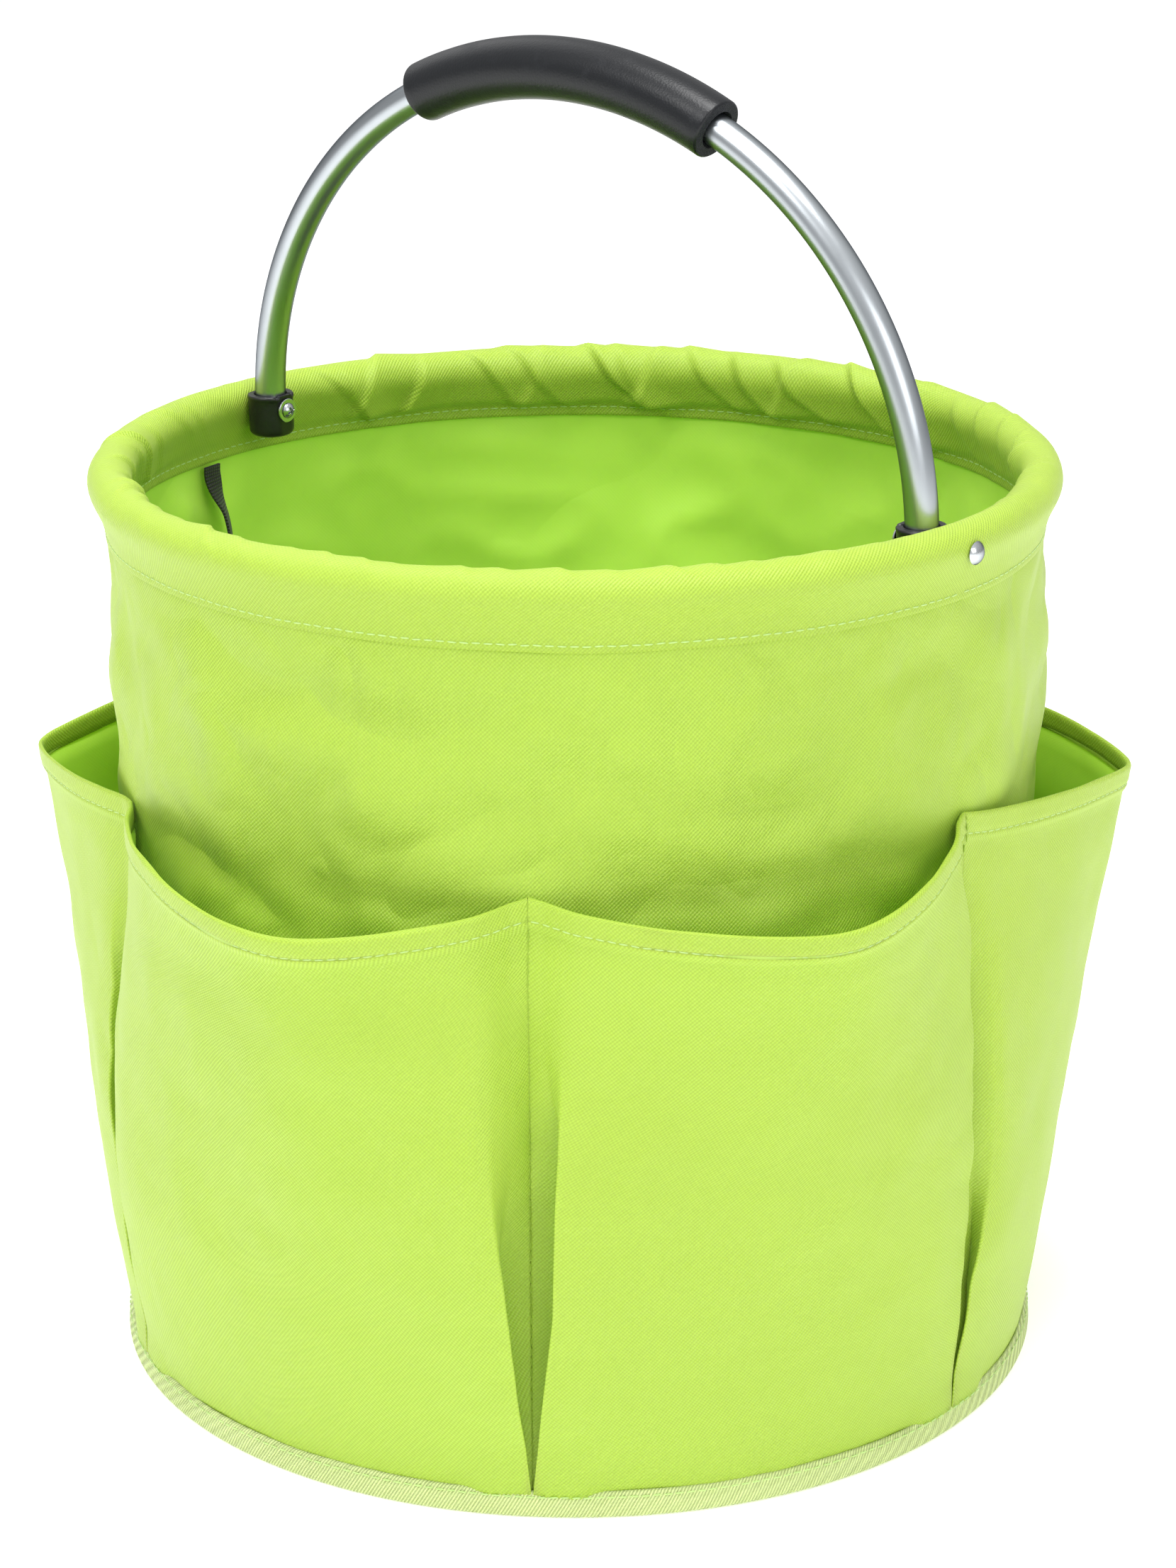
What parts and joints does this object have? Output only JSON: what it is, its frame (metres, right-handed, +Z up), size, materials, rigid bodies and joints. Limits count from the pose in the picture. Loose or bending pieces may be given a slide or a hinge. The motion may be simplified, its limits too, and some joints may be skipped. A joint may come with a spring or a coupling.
{
  "type": "fruit picking bag",
  "caption": "Round cloth picking bag with a hoop rim, outer pockets and an aluminium bail handle with a foam grip.",
  "frame": {"origin": "centre of the bottom cloth's underside, where the bag stands on the ground", "axes": "+Z up through the mouth, +X along the handle's pivot axis towards the right pivot"},
  "size_m": [0.396, 0.4132, 0.497],
  "materials": {
    "green_cloth": "woven polyester outside, smooth coated inside",
    "green_tape": "coarse woven binding tape",
    "black_webbing": "ribbed webbing",
    "black_foam": "closed-cell foam with a soft satin skin",
    "black_plastic": "satin moulded",
    "inner_plastic": "matt",
    "satin_aluminium": "satin anodised",
    "zinc_plated_steel": "bright zinc plated"
  },
  "bodies": {
    "bag": {"bag_wall": "green_cloth", "rim_casing": "green_cloth", "rim_hoop": "satin_aluminium", "hoop_joiner": "inner_plastic", "base_panel": "green_cloth", "base_board": "inner_plastic", "base_binding": "green_tape", "fold_strap": "black_webbing", "pocket_1": "green_cloth", "pocket_2": "green_cloth", "pocket_3": "green_cloth", "pocket_4": "green_cloth", "pocket_5": "green_cloth", "pocket_6": "green_cloth", "pivot_bolt_right": "zinc_plated_steel", "pivot_bolt_left": "zinc_plated_steel", "pivot_washer_right": "zinc_plated_steel", "pivot_washer_left": "zinc_plated_steel", "pivot_screw_right": "zinc_plated_steel", "pivot_screw_left": "zinc_plated_steel"},
    "handle": {"handle_tube": "satin_aluminium", "foam_grip": "black_foam", "pivot_sleeve_right": "black_plastic", "pivot_sleeve_left": "black_plastic"}
  },
  "joints": [
    {"name": "handle_swing", "type": "hinge", "parent": "bag", "child": "handle", "pos_m": [0, 0, 0.339], "axis": [1, 0, 0], "range_deg": [-91.7, 88.3]}
  ]
}
